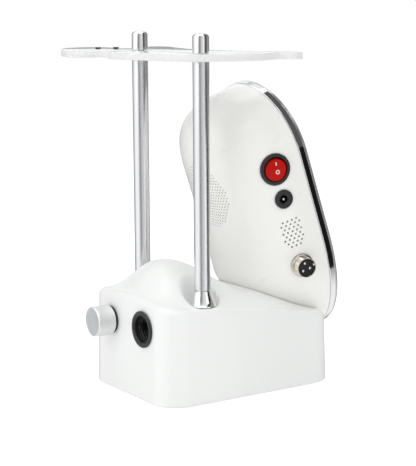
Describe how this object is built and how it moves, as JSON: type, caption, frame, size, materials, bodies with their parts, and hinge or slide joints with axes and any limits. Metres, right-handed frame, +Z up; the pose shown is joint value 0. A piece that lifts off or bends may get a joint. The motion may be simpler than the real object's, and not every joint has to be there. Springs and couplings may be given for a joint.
{
  "type": "ultrasound therapy device",
  "caption": "Table-top ultrasound therapy unit: white base with output knob, leaning oval touch console, and a clear tray for handpieces on aluminium posts.",
  "frame": {"origin": "under the middle of the base footprint, on the surface the rubber feet stand on, 1 mm below the base plate's underside", "axes": "+Z up, the console's screen faces -Y, the output knob and the handpiece socket are on the +Y face, and the power fittings are on the -X side"},
  "size_m": [0.1933, 0.1935, 0.2679],
  "materials": {
    "white_shell": "moulded cool white plastic with a soft gloss",
    "grey_plate": "moulded grey plastic, fine texture",
    "black_rubber": "matt rubber",
    "black_plastic": "black plastic, light sheen",
    "satin_aluminium": "satin anodised, fine grain",
    "chrome": "polished plating",
    "zinc_steel": "zinc plated steel",
    "clear_acrylic": "clear polished sheet, cut edges slightly grey",
    "red_rocker": "translucent red plastic with plain line and ring marks",
    "black_glass": "black printed glass, unlit",
    "circuit_board": "green solder mask",
    "display_metal": "plain metal backing",
    "copper_brass": "copper and brass, dull",
    "loom_sleeve": "braided black sleeve"
  },
  "bodies": {
    "unit": {"base_shell": "white_shell", "console_shell": "white_shell", "base_plate": "grey_plate", "foot_rear_left": "black_rubber", "foot_rear_right": "black_rubber", "foot_front_left": "black_rubber", "foot_front_right": "black_rubber", "plate_screw_rear_left": "zinc_steel", "plate_screw_rear_right": "zinc_steel", "plate_screw_front_left": "zinc_steel", "plate_screw_front_right": "zinc_steel", "post_left": "satin_aluminium", "post_right": "satin_aluminium", "post_foot_left": "chrome", "post_foot_right": "chrome", "post_washer_left": "zinc_steel", "post_washer_right": "zinc_steel", "post_nut_left": "zinc_steel", "post_nut_right": "zinc_steel", "post_cap_left": "chrome", "post_cap_right": "chrome", "tray": "clear_acrylic", "tray_pin_1": "black_plastic", "tray_pin_2": "black_plastic", "knob_collar": "black_plastic", "encoder_nut": "zinc_steel", "encoder_body": "zinc_steel", "socket_bezel": "black_plastic", "socket_insert": "black_plastic", "socket_nut": "black_plastic", "switch_housing": "black_plastic", "dc_jack": "black_plastic", "dc_jack_pin": "chrome", "aviation_socket": "chrome", "aviation_insert": "black_plastic", "aviation_nut": "zinc_steel", "chrome_rim": "chrome", "front_panel": "black_glass", "display_module": "display_metal", "control_board": "circuit_board", "fan_frame": "black_plastic", "speaker": "display_metal", "neck_tube": "zinc_steel", "neck_nut": "zinc_steel", "driver_board": "circuit_board", "transformer": "copper_brass", "heat_sink": "satin_aluminium", "wiring_loom": "loom_sleeve"},
    "knob": {"knob": "satin_aluminium", "encoder_shaft": "copper_brass"},
    "rocker": {"rocker": "red_rocker"},
    "fan": {"fan_impeller": "black_plastic"}
  },
  "joints": [
    {"name": "knob_turn", "type": "hinge", "parent": "unit", "child": "knob", "pos_m": [0.0225, 0.0759, 0.05296], "axis": [0, 1, 0], "range_deg": [0, 300]},
    {"name": "rocker_tilt", "type": "hinge", "parent": "unit", "child": "rocker", "pos_m": [-0.04802, -0.02482, 0.16684], "axis": [0.2252, 0.9229, -0.3124], "range_deg": [0, 16]},
    {"name": "fan_spin", "type": "hinge", "parent": "unit", "child": "fan", "pos_m": [0, -0.01246, 0.14893], "axis": [0, 0.9472, -0.3206], "continuous": true}
  ]
}
